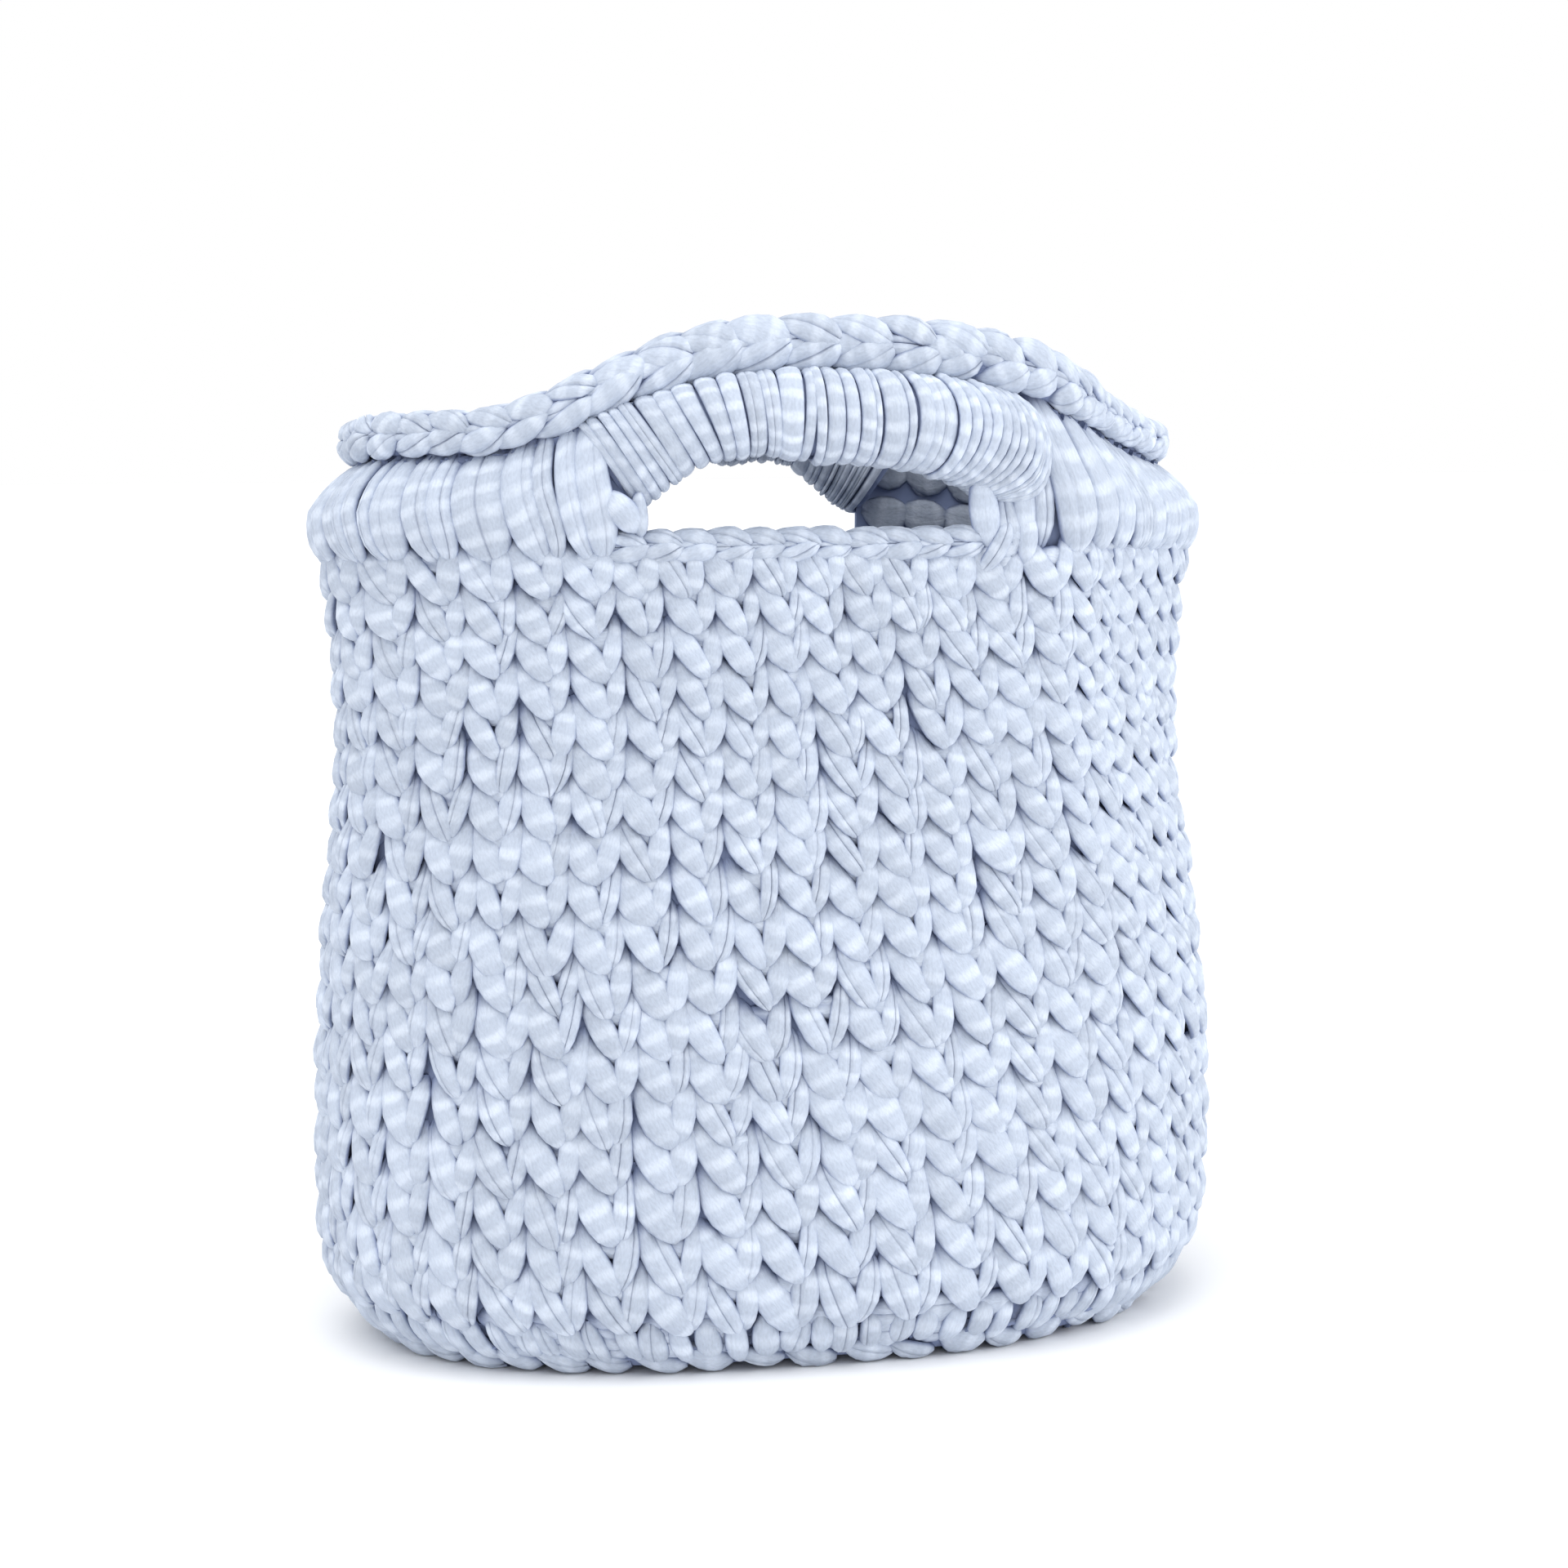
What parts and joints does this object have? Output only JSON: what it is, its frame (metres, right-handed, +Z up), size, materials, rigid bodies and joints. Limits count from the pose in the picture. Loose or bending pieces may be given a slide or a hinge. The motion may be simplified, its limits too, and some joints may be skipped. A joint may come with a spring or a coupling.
{
  "type": "crochet bag",
  "caption": "Upright oval bag in thick pale blue jersey yarn crochet, open at the top, with an arched wrapped hand slot in the front and in the back and a chain round the rim",
  "frame": {"origin": "on the floor under the middle of the bag's flat base", "axes": "+Z up, -Y out of the front face, which is the one in the picture, +X to the right as one looks at the front"},
  "size_m": [0.2716, 0.1492, 0.2979],
  "materials": {
    "wall_yarn": "matt jersey with fine pale cross stripes",
    "base_yarn": "matt jersey with fine pale cross stripes",
    "shoulder_yarn": "matt jersey with fine pale cross stripes",
    "handle_yarn": "matt jersey, strands wound side by side",
    "braid_yarn": "matt jersey, chain of loops"
  },
  "bodies": {
    "root": {"base": "base_yarn", "wall_lower": "wall_yarn", "wall_upper": "wall_yarn", "shoulder_left": "shoulder_yarn", "shoulder_right": "shoulder_yarn", "slot_braid_front": "braid_yarn", "slot_braid_back": "braid_yarn", "handle_front": "handle_yarn", "handle_back": "handle_yarn", "rim_braid": "braid_yarn"}
  },
  "joints": []
}
